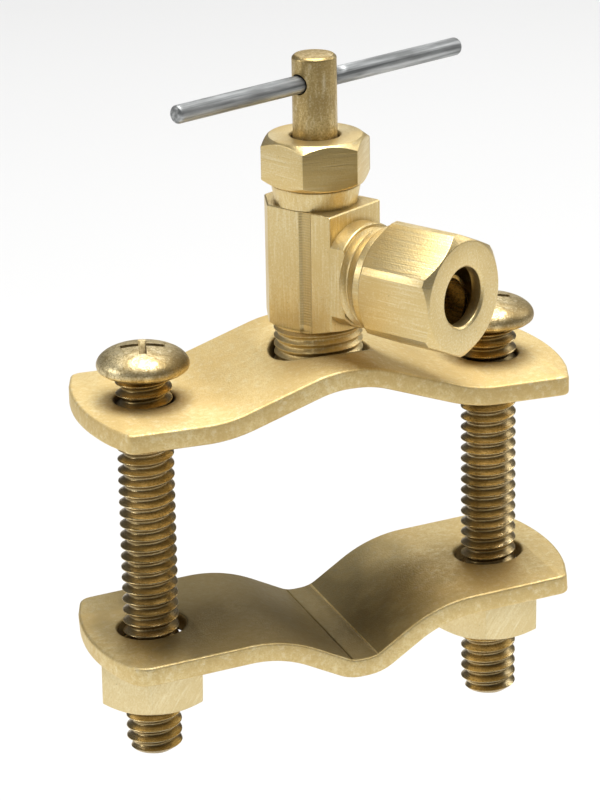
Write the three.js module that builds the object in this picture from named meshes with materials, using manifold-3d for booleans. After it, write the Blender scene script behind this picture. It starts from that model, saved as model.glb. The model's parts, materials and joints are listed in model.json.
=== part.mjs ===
// Saddle needle valve: a two-plate pipe clamp that carries a small angle needle valve
// with a T-bar and a compression outlet. Millimetres, +Z up.
// The origin is the middle of the pipe seat, on the underside of the upper plate's arch.
// +X runs along the plates, and the pipe lies along Y.

import * as THREE from 'three';
import { mergeVertices } from 'three/addons/utils/BufferGeometryUtils.js';
import Module from 'manifold-3d';

const wasm = await Module();
wasm.setup();

const DEG = Math.PI / 180;
const TURN = 2 * Math.PI;

// Fineness of the round shapes
const SIDES = 32;
const FINE_SIDES = 40;
const SMALL_SIDES = 20;
const BEND_STEPS = 5;

// Clearances
const RUNNING_GAP = 0.07;
const LOOSE_GAP = 0.3;
const OVERCUT = 1;

// Plates: a band cut from a disc, so that the ends are arcs about the middle
const PLATE_THICKNESS = 2.2;
const PLATE_WIDTH = 22.2;
const PLATE_END_RADIUS = 27.6;
const PLATE_CORNER_RADIUS = 1.2;
const UPPER_BEND = { middle: 0.1, rise: 4.1, slope: 19 * DEG, crown: 2.3, crownRadius: 12, footRadius: 16 };
const LOWER_BEND = { middle: 0.7, rise: -4.5, slope: -30 * DEG, crown: 1.6, crownRadius: 3, footRadius: 14 };
const UPPER_FLAT_Z = PLATE_THICKNESS / 2 - UPPER_BEND.rise;

// Lower jaw, at rest a little out of level because the nuts aren't run up evenly
const JAW_TOP_Z = -27.2;
const JAW_TILT = 3.9 * DEG;

// Clamp screws and nuts
const SCREW_X = 20.25;
const SCREW_RADIUS = 3.12;
const SCREW_LENGTH = 44.4;
const SCREW_TIP_CHAMFER = 0.5;
const LEFT_SCREW = { x: -SCREW_X, seat: 1.3, turn: -16 * DEG, nutTop: -31.4, nutTurn: 11 * DEG };
const RIGHT_SCREW = { x: SCREW_X, seat: 1.9, turn: -16 * DEG, nutTop: -28.9, nutTurn: 6 * DEG };
const UPPER_SCREW_HOLE_RADIUS = SCREW_RADIUS + 2 * RUNNING_GAP;
const LOWER_SCREW_HOLE_RADIUS = 3.83;
const HEAD = { radius: 5.1, underRadius: 4.75, rim: 0.8, bevel: 0.4, dome: 2.3 };
const RECESS = { reach: 3.0, width: 1.1, depth: 1.7, floorReach: 1.2 };
const CLAMP_NUT = { flats: 11.1, height: 5.8, chamferRadius: 5.45, chamfer: 0.55 };

// Valve body, cut from bar. The outlet points along OUTLET_TURN in the XY plane.
const OUTLET_TURN = -59.3 * DEG;
const OUTLET_Z = 10.95;
const BODY = { bottom: 5.25, top: 18.15, front: 5.4, side: 4.36, shoulder: -3.3, back: -6.2, backHalf: 1.4 };
const BODY_GROOVE = { start: 1.0, end: 2.75, depth: 0.3, flank: 0.3 };
const BODY_CONE = { radius: 4.9, z: 4.55 };
const LOWER_THREAD_RADIUS = 4.9;
const VALVE_HOLE_RADIUS = 5.2;
const NECK = { rootRadius: 4.07, radius: 4.9, coneTop: 19.2, top: 20.8 };
const NECK_THREAD = { radius: 4.6, top: 24 };
const BRANCH = { radius: 5.5, flatsEnd: 7.5, end: 14.6, mouthRadius: 4.3 };
const TUBE_SOCKET = { radius: 3.25, floor: 10.2 };
const PASSAGE_RADIUS = 2;

// Stem, needle and gland
const STEM = { radius: 2.43, bottom: 13.2, top: 34.5, chamfer: 0.35 };
const STEM_BORE_RADIUS = STEM.radius + RUNNING_GAP;
const NEEDLE = { radius: 0.95, tip: -3.3, top: 16, collarRadius: 1.6, collar: 6.85, collarTop: 8.4 };
const NEEDLE_GAP = 0.15;
const INLET_RADIUS = 1.3;
const SEAT = { bottom: 6.35, top: 7.45 };
const GLAND = { radius: 3.5, floor: 21.3 };
const PACKING = { bottom: 21.45, top: 23.3 };
const FOLLOWER = { bottom: 23.4, top: 24.5 };

const PACKING_NUT = { flats: 10.7, bottom: 21.1, top: 25.6, turn: -3.2 * DEG };
const PACKING_NUT_FACE_RADIUS = 5.17;
const PACKING_NUT_CHAMFER = 0.85;
const PACKING_NUT_HOLE_RADIUS = 2.67;
const PACKING_NUT_CEILING = 24.6;

// T-bar, staked in the stem a little off its middle
const BAR = { radius: 1, z: 31.5, turn: 22.6 * DEG, length: 41.6, offset: 0.9, dome: 0.35 };
const BAR_HOLE_RADIUS = 1.15;

// Compression nut and ferrule, along the outlet
const COMPRESSION_NUT = { flats: 12.4, collarStart: 9.6, start: 10.5, end: 20.1, turn: 35.1 * DEG };
const COLLAR_RADIUS = 6;
const NUT_FACE_RADIUS = 6.06;
const NUT_CHAMFER = 0.85;
const NUT_THREAD_RADIUS = 5.65;
const NUT_SHOULDER = { mouth: 18.6, foot: 18.2, radius: 5.2 };
const FERRULE = { start: 15, end: 17.8, bore: 3.1, radius: 4, noseRadius: 3.5, taper: 0.9, drop: 1.45 };

// Gasket
const GASKET = { radius: 5.8, bottom: -1.6, bore: 1.6 };

// ---- Joining and cutting ----

function toSolid(geometry) {
  const bare = new THREE.BufferGeometry();
  bare.setAttribute('position', geometry.getAttribute('position').clone());
  if (geometry.index) bare.setIndex(geometry.index.clone());
  const merged = mergeVertices(bare, 1e-4);
  const index = merged.index.array;
  const kept = [];
  for (let i = 0; i < index.length; i += 3) {
    const [a, b, c] = [index[i], index[i + 1], index[i + 2]];
    if (a !== b && b !== c && c !== a) kept.push(a, b, c);
  }
  return new wasm.Manifold(new wasm.Mesh({
    numProp: 3,
    vertProperties: new Float32Array(merged.getAttribute('position').array),
    triVerts: new Uint32Array(kept),
  }));
}

function toGeometry(solid) {
  const mesh = solid.getMesh();
  const geometry = new THREE.BufferGeometry();
  geometry.setAttribute('position', new THREE.BufferAttribute(mesh.vertProperties, 3));
  geometry.setIndex(new THREE.BufferAttribute(mesh.triVerts, 1));
  geometry.computeVertexNormals();
  return geometry;
}

// ---- Basic shapes ----

// A turned shape about Z, from [radius, z] points that run anticlockwise.
function turned(points, sides = SIDES) {
  const profile = points.map(([radius, z]) => new THREE.Vector2(radius, z));
  return toSolid(new THREE.LatheGeometry(profile, sides).rotateX(90 * DEG));
}

function disc(radius, low, high, sides = SIDES) {
  return turned([[0, low], [radius, low], [radius, high], [0, high]], sides);
}

function ring(inner, outer, low, high, sides = SIDES) {
  return turned([[inner, low], [outer, low], [outer, high], [inner, high], [inner, low]], sides);
}

// An outline in XY, raised from low to high.
function raised(shape, low, high, curveSegments = BEND_STEPS) {
  const options = { depth: high - low, bevelEnabled: false, curveSegments };
  return toSolid(new THREE.ExtrudeGeometry(shape, options).translate(0, 0, low));
}

function polygon(points) {
  return new THREE.Shape(points.map(([x, y]) => new THREE.Vector2(x, y)));
}

function hexagon(flats, turn) {
  const radius = flats / Math.sqrt(3);
  const corners = [0, 1, 2, 3, 4, 5].map((k) => turn + (k * TURN) / 6);
  return polygon(corners.map((angle) => [radius * Math.cos(angle), radius * Math.sin(angle)]));
}

// A hexagon bar whose two ends are turned down to the face radii.
function hexBar({ flats, turn, low, high, lowRadius, highRadius, chamfer }) {
  const reach = flats;
  const spread = (flats / Math.sqrt(3) - Math.min(lowRadius, highRadius)) / chamfer;
  const envelope = turned([
    [0, low],
    [lowRadius, low],
    [reach, low + (reach - lowRadius) / spread],
    [reach, high - (reach - highRadius) / spread],
    [highRadius, high],
    [0, high],
  ], FINE_SIDES);
  return raised(hexagon(flats, turn), low - OVERCUT, high + OVERCUT).intersect(envelope);
}

// Lays a shape that was made along +Z down along the outlet direction, local +X.
function laidAlongX(solid) {
  return solid.rotate([0, 90, 0]);
}

// ---- Plates ----

// Middle line of a bent plate from its centre to one end: points with the line's angle.
function bendLine({ rise, slope, crown, crownRadius, footRadius }, end) {
  const side = Math.sign(slope);
  const angle = Math.abs(slope);
  const foot = crown + Math.abs(rise) / Math.tan(angle);
  const line = [{ x: 0, z: rise, lean: 0 }];
  const startOfCrown = crown - crownRadius * Math.tan(angle / 2);
  for (let step = 0; step <= BEND_STEPS; step += 1) {
    const lean = (angle * step) / BEND_STEPS;
    const x = startOfCrown + crownRadius * Math.sin(lean);
    const drop = crownRadius * (1 - Math.cos(lean));
    line.push({ x, z: rise - side * drop, lean: -side * lean });
  }
  const endOfFoot = foot + footRadius * Math.tan(angle / 2);
  for (let step = BEND_STEPS; step >= 0; step -= 1) {
    const lean = (angle * step) / BEND_STEPS;
    const x = endOfFoot - footRadius * Math.sin(lean);
    const lift = footRadius * (1 - Math.cos(lean));
    line.push({ x, z: side * lift, lean: -side * lean });
  }
  line.push({ x: end, z: 0, lean: 0 });
  return line;
}

// The same line moved sideways by an offset, over the whole plate from left to right.
function offsetLine(bend, offset, end) {
  const half = bendLine(bend, end).map(({ x, z, lean }) => [
    x - offset * Math.sin(lean),
    z + offset * Math.cos(lean),
  ]);
  const right = half.map(([x, z]) => [bend.middle + x, z]);
  const left = half.slice(1).reverse().map(([x, z]) => [bend.middle - x, z]);
  return [...left, ...right];
}

// A section in XZ, drawn across the plate's whole width.
function acrossWidth(points) {
  const width = PLATE_WIDTH + 2 * OVERCUT;
  const options = { depth: width, bevelEnabled: false };
  const geometry = new THREE.ExtrudeGeometry(polygon(points), options);
  return toSolid(geometry.rotateX(90 * DEG).translate(0, width / 2, 0));
}

function plateOutline() {
  const half = PLATE_WIDTH / 2;
  const fillet = PLATE_CORNER_RADIUS;
  const y = half - fillet;
  const x = Math.sqrt((PLATE_END_RADIUS - fillet) ** 2 - y ** 2);
  const corner = Math.atan2(y, x);
  const shape = new THREE.Shape();
  shape.moveTo(-x, -half);
  shape.lineTo(x, -half);
  shape.absarc(x, -y, fillet, -90 * DEG, -corner);
  shape.absarc(0, 0, PLATE_END_RADIUS, -corner, corner);
  shape.absarc(x, y, fillet, corner, 90 * DEG);
  shape.lineTo(-x, half);
  shape.absarc(-x, y, fillet, 90 * DEG, 180 * DEG - corner);
  shape.absarc(0, 0, PLATE_END_RADIUS, 180 * DEG - corner, 180 * DEG + corner);
  shape.absarc(-x, -y, fillet, 180 * DEG + corner, 270 * DEG);
  return shape;
}

function bentPlate(bend, screwHoleRadius) {
  const end = PLATE_END_RADIUS + OVERCUT;
  const above = offsetLine(bend, PLATE_THICKNESS / 2, end);
  const below = offsetLine(bend, -PLATE_THICKNESS / 2, end);
  const reach = Math.abs(bend.rise) + PLATE_THICKNESS;
  const strip = acrossWidth([...below, ...above.reverse()]);
  const hole = disc(screwHoleRadius, -reach, reach);
  return strip
    .intersect(raised(plateOutline(), -reach, reach, 2 * BEND_STEPS))
    .subtract(hole.translate([-SCREW_X, 0, 0]))
    .subtract(hole.translate([SCREW_X, 0, 0]));
}

function upperPlate() {
  const valveHole = disc(VALVE_HOLE_RADIUS, -PLATE_THICKNESS, 2 * PLATE_THICKNESS, FINE_SIDES);
  return bentPlate(UPPER_BEND, UPPER_SCREW_HOLE_RADIUS)
    .translate([0, 0, UPPER_FLAT_Z])
    .subtract(valveHole);
}

function lowerPlate() {
  return bentPlate(LOWER_BEND, LOWER_SCREW_HOLE_RADIUS).translate([0, 0, -PLATE_THICKNESS / 2]);
}

function saddleGasket() {
  const underside = offsetLine(UPPER_BEND, -PLATE_THICKNESS / 2 - LOOSE_GAP, PLATE_END_RADIUS);
  const deep = UPPER_FLAT_Z - 2 * PLATE_THICKNESS;
  const space = acrossWidth([
    [-PLATE_END_RADIUS, deep],
    [PLATE_END_RADIUS, deep],
    ...underside.reverse().map(([x, z]) => [x, z + UPPER_FLAT_Z]),
  ]);
  return ring(GASKET.bore, GASKET.radius, GASKET.bottom, OVERCUT).intersect(space);
}

// ---- Clamp screws and nuts ----

function crossRecess() {
  const top = HEAD.rim + HEAD.dome + OVERCUT;
  const floor = HEAD.rim + HEAD.dome - RECESS.depth;
  const blade = polygon([
    [-RECESS.floorReach, floor],
    [RECESS.floorReach, floor],
    [RECESS.reach, top],
    [-RECESS.reach, top],
  ]);
  const options = { depth: RECESS.width, bevelEnabled: false };
  const geometry = new THREE.ExtrudeGeometry(blade, options);
  const slot = toSolid(geometry.rotateX(90 * DEG).translate(0, RECESS.width / 2, 0));
  return slot.add(slot.rotate([0, 0, 90]));
}

// A screw with the underside of its head at z = 0 and its shank below.
function clampScrew() {
  const dome = [];
  for (let step = 0; step < BEND_STEPS; step += 1) {
    const angle = (step / BEND_STEPS) * 90 * DEG;
    dome.push([HEAD.radius * Math.cos(angle), HEAD.rim + HEAD.dome * Math.sin(angle)]);
  }
  return turned([
    [0, -SCREW_LENGTH],
    [SCREW_RADIUS - SCREW_TIP_CHAMFER, -SCREW_LENGTH],
    [SCREW_RADIUS, -SCREW_LENGTH + SCREW_TIP_CHAMFER],
    [SCREW_RADIUS, 0],
    [HEAD.underRadius, 0],
    [HEAD.radius, HEAD.bevel],
    ...dome,
    [0, HEAD.rim + HEAD.dome],
  ]).subtract(crossRecess());
}

function clampNut(turn) {
  const { flats, height, chamferRadius, chamfer } = CLAMP_NUT;
  const bar = hexBar({
    flats,
    turn,
    low: -height,
    high: 0,
    lowRadius: chamferRadius,
    highRadius: chamferRadius,
    chamfer,
  });
  return bar.subtract(disc(SCREW_RADIUS + RUNNING_GAP, -height - OVERCUT, OVERCUT));
}

// ---- Valve body ----

// The bar's section: a square front with a groove in each side, and a back cut to facets.
function bodySection() {
  const { front, side, shoulder, back, backHalf } = BODY;
  const { start, end, depth, flank } = BODY_GROOVE;
  const half = [
    [back, backHalf],
    [shoulder, side],
    [start, side],
    [start + flank, side - depth],
    [end - flank, side - depth],
    [end, side],
    [front, side],
  ];
  const mirrored = half.map(([x, y]) => [x, -y]);
  return polygon([...mirrored, ...half.reverse()]);
}

function bodyBar() {
  const spread = (2 * BODY.front - BODY_CONE.radius) * ((BODY.bottom - BODY_CONE.z) / 2);
  const envelope = turned([
    [0, BODY_CONE.z],
    [BODY_CONE.radius, BODY_CONE.z],
    [2 * BODY.front, BODY_CONE.z + spread],
    [2 * BODY.front, BODY.top],
    [0, BODY.top],
  ], FINE_SIDES);
  return raised(bodySection(), BODY_CONE.z - OVERCUT, BODY.top + OVERCUT).intersect(envelope);
}

function bodyNeck() {
  return turned([
    [0, BODY.top - OVERCUT],
    [NECK.rootRadius, BODY.top - OVERCUT],
    [NECK.rootRadius, BODY.top],
    [NECK.radius, NECK.coneTop],
    [NECK.radius, NECK.top],
    [NECK_THREAD.radius, NECK.top],
    [NECK_THREAD.radius, NECK_THREAD.top],
    [0, NECK_THREAD.top],
  ], FINE_SIDES);
}

// The outlet branch, flat-sided where the bar's sides still hold it.
function bodyBranch() {
  const round = laidAlongX(disc(BRANCH.radius, 0, BRANCH.end, FINE_SIDES)).translate([0, 0, OUTLET_Z]);
  const flats = polygon([
    [0, -BODY.side],
    [BRANCH.flatsEnd, -BODY.side],
    [BRANCH.flatsEnd, -BRANCH.end],
    [BRANCH.end + OVERCUT, -BRANCH.end],
    [BRANCH.end + OVERCUT, BRANCH.end],
    [BRANCH.flatsEnd, BRANCH.end],
    [BRANCH.flatsEnd, BODY.side],
    [0, BODY.side],
  ]);
  return round.intersect(raised(flats, 0, BODY.top + OVERCUT));
}

// Inlet, needle seat, stem thread and packing room, bored down the body's axis.
function stemBore() {
  return turned([
    [0, -OVERCUT],
    [INLET_RADIUS, -OVERCUT],
    [INLET_RADIUS, SEAT.bottom],
    [STEM_BORE_RADIUS, SEAT.top],
    [STEM_BORE_RADIUS, GLAND.floor],
    [GLAND.radius, GLAND.floor],
    [GLAND.radius, NECK_THREAD.top + OVERCUT],
    [0, NECK_THREAD.top + OVERCUT],
  ]);
}

// Passage, tube socket and ferrule cone, bored in from the outlet.
function outletBore() {
  const cone = BRANCH.mouthRadius - TUBE_SOCKET.radius;
  const bore = turned([
    [0, 0],
    [PASSAGE_RADIUS, 0],
    [PASSAGE_RADIUS, TUBE_SOCKET.floor],
    [TUBE_SOCKET.radius, TUBE_SOCKET.floor],
    [TUBE_SOCKET.radius, BRANCH.end - cone],
    [BRANCH.mouthRadius + cone, BRANCH.end + cone],
    [0, BRANCH.end + cone],
  ]);
  return laidAlongX(bore).translate([0, 0, OUTLET_Z]);
}

function valveBody() {
  const thread = disc(LOWER_THREAD_RADIUS, 0, BODY_CONE.z + OVERCUT, FINE_SIDES);
  return bodyBar()
    .add(bodyNeck())
    .add(thread)
    .add(bodyBranch())
    .subtract(stemBore())
    .subtract(outletBore());
}

// ---- Gland ----

function packingNut() {
  const bar = hexBar({
    flats: PACKING_NUT.flats,
    turn: PACKING_NUT.turn,
    low: PACKING_NUT.bottom,
    high: PACKING_NUT.top,
    lowRadius: PACKING_NUT_FACE_RADIUS,
    highRadius: PACKING_NUT_FACE_RADIUS,
    chamfer: PACKING_NUT_CHAMFER,
  });
  const threadRadius = NECK_THREAD.radius + 2 * RUNNING_GAP;
  return bar.subtract(turned([
    [0, PACKING_NUT.bottom - OVERCUT],
    [threadRadius, PACKING_NUT.bottom - OVERCUT],
    [threadRadius, PACKING_NUT_CEILING],
    [PACKING_NUT_HOLE_RADIUS, PACKING_NUT_CEILING],
    [PACKING_NUT_HOLE_RADIUS, PACKING_NUT.top + OVERCUT],
    [0, PACKING_NUT.top + OVERCUT],
  ]));
}

function glandRing({ bottom, top }) {
  return ring(STEM_BORE_RADIUS, GLAND.radius - RUNNING_GAP, bottom, top);
}

// ---- Stem ----

function barHole() {
  const hole = laidAlongX(disc(BAR_HOLE_RADIUS, -2 * STEM.radius, 2 * STEM.radius, SMALL_SIDES));
  return hole.rotate([0, 0, BAR.turn / DEG]).translate([0, 0, BAR.z]);
}

function valveStem() {
  const needleSocket = disc(NEEDLE.radius + RUNNING_GAP, STEM.bottom - OVERCUT, NEEDLE.top + NEEDLE_GAP);
  const shaft = turned([
    [0, STEM.bottom],
    [STEM.radius, STEM.bottom],
    [STEM.radius, STEM.top - STEM.chamfer],
    [STEM.radius - STEM.chamfer, STEM.top],
    [0, STEM.top],
  ]);
  return shaft.subtract(needleSocket).subtract(barHole());
}

function needle() {
  const point = NEEDLE.radius * 2.6;
  const cone = NEEDLE.collarRadius - NEEDLE.radius;
  return turned([
    [0, NEEDLE.tip],
    [NEEDLE.radius, NEEDLE.tip + point],
    [NEEDLE.radius, NEEDLE.collar - cone],
    [NEEDLE.collarRadius, NEEDLE.collar],
    [NEEDLE.collarRadius, NEEDLE.collarTop],
    [NEEDLE.radius, NEEDLE.collarTop],
    [NEEDLE.radius, NEEDLE.top],
    [0, NEEDLE.top],
  ], SMALL_SIDES);
}

function handleBar() {
  const half = BAR.length / 2;
  const dome = BAR.radius - BAR.dome;
  const rod = turned([
    [0, -half],
    [dome, -half],
    [BAR.radius, -half + BAR.dome],
    [BAR.radius, half - BAR.dome],
    [dome, half],
    [0, half],
  ], SMALL_SIDES);
  return laidAlongX(rod).translate([BAR.offset, 0, 0]);
}

// ---- Outlet ----

function compressionNut() {
  const { flats, collarStart, start, end, turn } = COMPRESSION_NUT;
  const bar = hexBar({
    flats,
    turn,
    low: start,
    high: end,
    lowRadius: COLLAR_RADIUS,
    highRadius: NUT_FACE_RADIUS,
    chamfer: NUT_CHAMFER,
  });
  const bore = turned([
    [0, collarStart - OVERCUT],
    [NUT_THREAD_RADIUS, collarStart - OVERCUT],
    [NUT_THREAD_RADIUS, NUT_SHOULDER.foot],
    [NUT_SHOULDER.radius, NUT_SHOULDER.foot],
    [TUBE_SOCKET.radius, NUT_SHOULDER.mouth],
    [TUBE_SOCKET.radius, end + OVERCUT],
    [0, end + OVERCUT],
  ], FINE_SIDES);
  const collar = disc(COLLAR_RADIUS, collarStart, start + OVERCUT, FINE_SIDES);
  return laidAlongX(bar.add(collar).subtract(bore).rotate([0, 0, -90]));
}

function ferrule() {
  const { start, end, bore, radius, noseRadius, taper } = FERRULE;
  return laidAlongX(turned([
    [bore, start],
    [noseRadius, start],
    [radius, start + taper],
    [radius, end - taper],
    [noseRadius, end],
    [bore, end],
    [bore, start],
  ]));
}

// ---- Assembly ----

const FINISHES = {
  brass: { color: 0xc9ad6b, roughness: 0.38, metalness: 1 },
  plate: { color: 0xcfb473, roughness: 0.42, metalness: 1 },
  screw: { color: 0xa78a4a, roughness: 0.3, metalness: 1 },
  steel: { color: 0x9a9b9c, roughness: 0.4, metalness: 1 },
  hardened: { color: 0x6f7072, roughness: 0.3, metalness: 1 },
  rubber: { color: 0x1c1c1c, roughness: 0.9, metalness: 0 },
  packing: { color: 0x4a4743, roughness: 0.8, metalness: 0 },
};

function named(name, solid, finish) {
  const mesh = new THREE.Mesh(toGeometry(solid), new THREE.MeshStandardMaterial(FINISHES[finish]));
  mesh.name = name;
  return mesh;
}

function placedScrew(name, { x, seat, turn }) {
  const mesh = named(name, clampScrew(), 'screw');
  mesh.position.set(x, 0, seat);
  mesh.rotation.z = turn;
  return mesh;
}

function placedNut(name, { x, nutTop, nutTurn }) {
  const mesh = named(name, clampNut(nutTurn), 'brass');
  mesh.position.set(x, 0, nutTop);
  return mesh;
}

function jaw() {
  const mesh = named('lower_plate', lowerPlate(), 'plate');
  mesh.position.z = JAW_TOP_Z;
  mesh.rotation.y = -JAW_TILT;
  return mesh;
}

function outlet() {
  const group = new THREE.Group();
  group.rotation.z = OUTLET_TURN;
  const nut = named('compression_nut', compressionNut(), 'brass');
  nut.position.z = OUTLET_Z;
  const sleeve = named('ferrule', ferrule(), 'brass');
  sleeve.position.z = OUTLET_Z - FERRULE.drop;
  group.add(named('valve_body', valveBody(), 'brass'), nut, sleeve);
  return group;
}

function tBar() {
  const mesh = named('handle_bar', handleBar(), 'steel');
  mesh.position.z = BAR.z;
  mesh.rotation.z = BAR.turn;
  return mesh;
}

const valve = new THREE.Group();
valve.add(
  named('upper_plate', upperPlate(), 'plate'),
  named('saddle_gasket', saddleGasket(), 'rubber'),
  jaw(),
  placedScrew('clamp_screw_left', LEFT_SCREW),
  placedScrew('clamp_screw_right', RIGHT_SCREW),
  placedNut('clamp_nut_left', LEFT_SCREW),
  placedNut('clamp_nut_right', RIGHT_SCREW),
  outlet(),
  named('packing_nut', packingNut(), 'brass'),
  named('stem_packing', glandRing(PACKING), 'packing'),
  named('packing_follower', glandRing(FOLLOWER), 'brass'),
  named('needle', needle(), 'hardened'),
  named('valve_stem', valveStem(), 'brass'),
  tBar(),
);

export default valve;
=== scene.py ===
"""Looks of a saddle needle valve: bar brass with real threads, stamped plates and a steel T-bar.

Every piece is built in millimetres in its own frame, with +Z along its axis, and is then placed
in the row frame, in metres, at the place that its CAD node has.
"""

import json
import math

import bmesh
import bpy
from mathutils import Matrix, Vector


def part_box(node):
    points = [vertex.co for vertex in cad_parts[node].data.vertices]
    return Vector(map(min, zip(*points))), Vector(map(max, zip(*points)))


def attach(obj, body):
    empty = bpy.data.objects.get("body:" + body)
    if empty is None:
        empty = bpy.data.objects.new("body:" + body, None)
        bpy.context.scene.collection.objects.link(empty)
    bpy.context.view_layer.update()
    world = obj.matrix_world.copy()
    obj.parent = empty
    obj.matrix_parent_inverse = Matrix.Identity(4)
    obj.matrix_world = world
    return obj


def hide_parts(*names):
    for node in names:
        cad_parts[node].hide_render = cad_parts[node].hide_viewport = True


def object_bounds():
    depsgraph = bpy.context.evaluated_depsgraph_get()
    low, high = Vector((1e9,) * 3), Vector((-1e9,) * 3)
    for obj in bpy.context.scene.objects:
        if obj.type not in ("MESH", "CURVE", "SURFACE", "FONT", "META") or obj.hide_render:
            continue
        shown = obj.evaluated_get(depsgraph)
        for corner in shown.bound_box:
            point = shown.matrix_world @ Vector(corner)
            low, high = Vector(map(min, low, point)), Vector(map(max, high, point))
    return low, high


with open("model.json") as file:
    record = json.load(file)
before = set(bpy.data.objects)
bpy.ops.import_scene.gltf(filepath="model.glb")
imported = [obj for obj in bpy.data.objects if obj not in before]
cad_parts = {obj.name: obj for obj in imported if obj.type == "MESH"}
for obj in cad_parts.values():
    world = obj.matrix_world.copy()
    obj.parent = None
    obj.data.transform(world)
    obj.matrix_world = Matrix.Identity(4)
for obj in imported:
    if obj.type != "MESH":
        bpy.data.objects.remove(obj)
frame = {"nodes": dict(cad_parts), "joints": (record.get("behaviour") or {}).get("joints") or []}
CAD_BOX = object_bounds()

MM = 0.001
DEG = math.pi / 180
TURN = 2 * math.pi

# Inch threads: pitch in millimetres
SCREW_PITCH = 1.27
OUTLET_PITCH = 1.0583
LOWER_PITCH = 0.94

# Places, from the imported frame
JOINTS = {joint["name"]: joint for joint in frame["joints"]}
OUTLET_AXIS = Vector(JOINTS["outlet_nut_turn"]["axis"])
OUTLET_TURN = math.atan2(OUTLET_AXIS.y, OUTLET_AXIS.x)
OUTLET_Z = JOINTS["outlet_nut_turn"]["pos_m"][2] / MM
BAR_TURN = 22.6 * DEG
JAW_TILT = 3.9 * DEG

# Smoothness
ROUND_COLUMNS = 96
STEP_ANGLE = 7 * DEG
SHARP_ANGLE = 32 * DEG
ARC_STEP = 22.5 * DEG
WELD = 2e-4  # millimetres


def box_mm(node):
    """Lowest and highest corner of a CAD node, in millimetres."""
    low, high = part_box(node)
    return low / MM, high / MM


def middle_mm(node):
    low, high = box_mm(node)
    return (low + high) / 2


# ---- Outlines ----


def eased(points, closed=False):
    """Points with their corners rounded. A point is (x, y) or (x, y, corner radius)."""
    result = []
    count = len(points)
    for i, point in enumerate(points):
        here = Vector(point[:2])
        radius = point[2] if len(point) > 2 else 0
        is_end = not closed and i in (0, count - 1)
        if is_end or radius == 0:
            result.append(tuple(here))
            continue
        back = (Vector(points[i - 1][:2]) - here).normalized()
        ahead = (Vector(points[(i + 1) % count][:2]) - here).normalized()
        half = back.angle(ahead) / 2
        centre = here + (back + ahead).normalized() * (radius / math.sin(half))
        start = here + back * (radius / math.tan(half)) - centre
        end = here + ahead * (radius / math.tan(half)) - centre
        sweep = start.angle_signed(end)
        steps = max(2, math.ceil(abs(sweep) / ARC_STEP))
        for step in range(steps + 1):
            turned = start.copy()
            turned.rotate(Matrix.Rotation(-sweep * step / steps, 2))
            result.append(tuple(centre + turned))
    return result


def columns(outline):
    """An outline round the axis as (angle, radius) columns, with its long sides divided."""
    result = []
    count = len(outline)
    for i in range(count):
        a, b = Vector(outline[i]), Vector(outline[(i + 1) % count])
        steps = max(1, math.ceil(a.angle(b) / STEP_ANGLE))
        for step in range(steps):
            p = a.lerp(b, step / steps)
            result.append((math.atan2(p.y, p.x), p.length))
    return result


def hexagon(flats, turn, corner=0.0, cut=0.0):
    """A hexagon across its flats, with rounded or straight-cut corners."""
    radius = flats / math.sqrt(3)
    spread = math.asin(cut / 2 / radius) if cut else 0
    points = []
    for k in range(6):
        angle = turn + k * TURN / 6
        if cut:
            for side in (-1, 1):
                along = angle + side * spread
                reach = flats / 2 / math.cos(TURN / 12 - spread)
                points.append((reach * math.cos(along), reach * math.sin(along), corner))
        else:
            points.append((radius * math.cos(angle), radius * math.sin(angle), corner))
    return eased(points, closed=True)


def circle(count=ROUND_COLUMNS):
    """A round outline, as (angle, radius) columns."""
    return [(i * TURN / count, 1.0) for i in range(count)]


# ---- Surfaces laid round an axis ----

# One turn's profile, from root to crest and back, as (share of the pitch, share of the depth)
THREAD_PROFILE = [(0.0, 0.0), (0.08, 0.01), (0.14, 0.09), (0.42, 0.88), (0.46, 0.98),
                  (0.5, 1.0), (0.54, 0.98), (0.58, 0.88), (0.86, 0.09), (0.92, 0.01)]


def thread_share(phase):
    """Depth share of the thread's profile at a phase, in turns."""
    phase %= 1
    points = [*THREAD_PROFILE, (1.0, THREAD_PROFILE[0][1])]
    for (a, low), (b, high) in zip(points, points[1:]):
        if a <= phase <= b:
            return low + (high - low) * (phase - a) / (b - a)
    return 0


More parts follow.
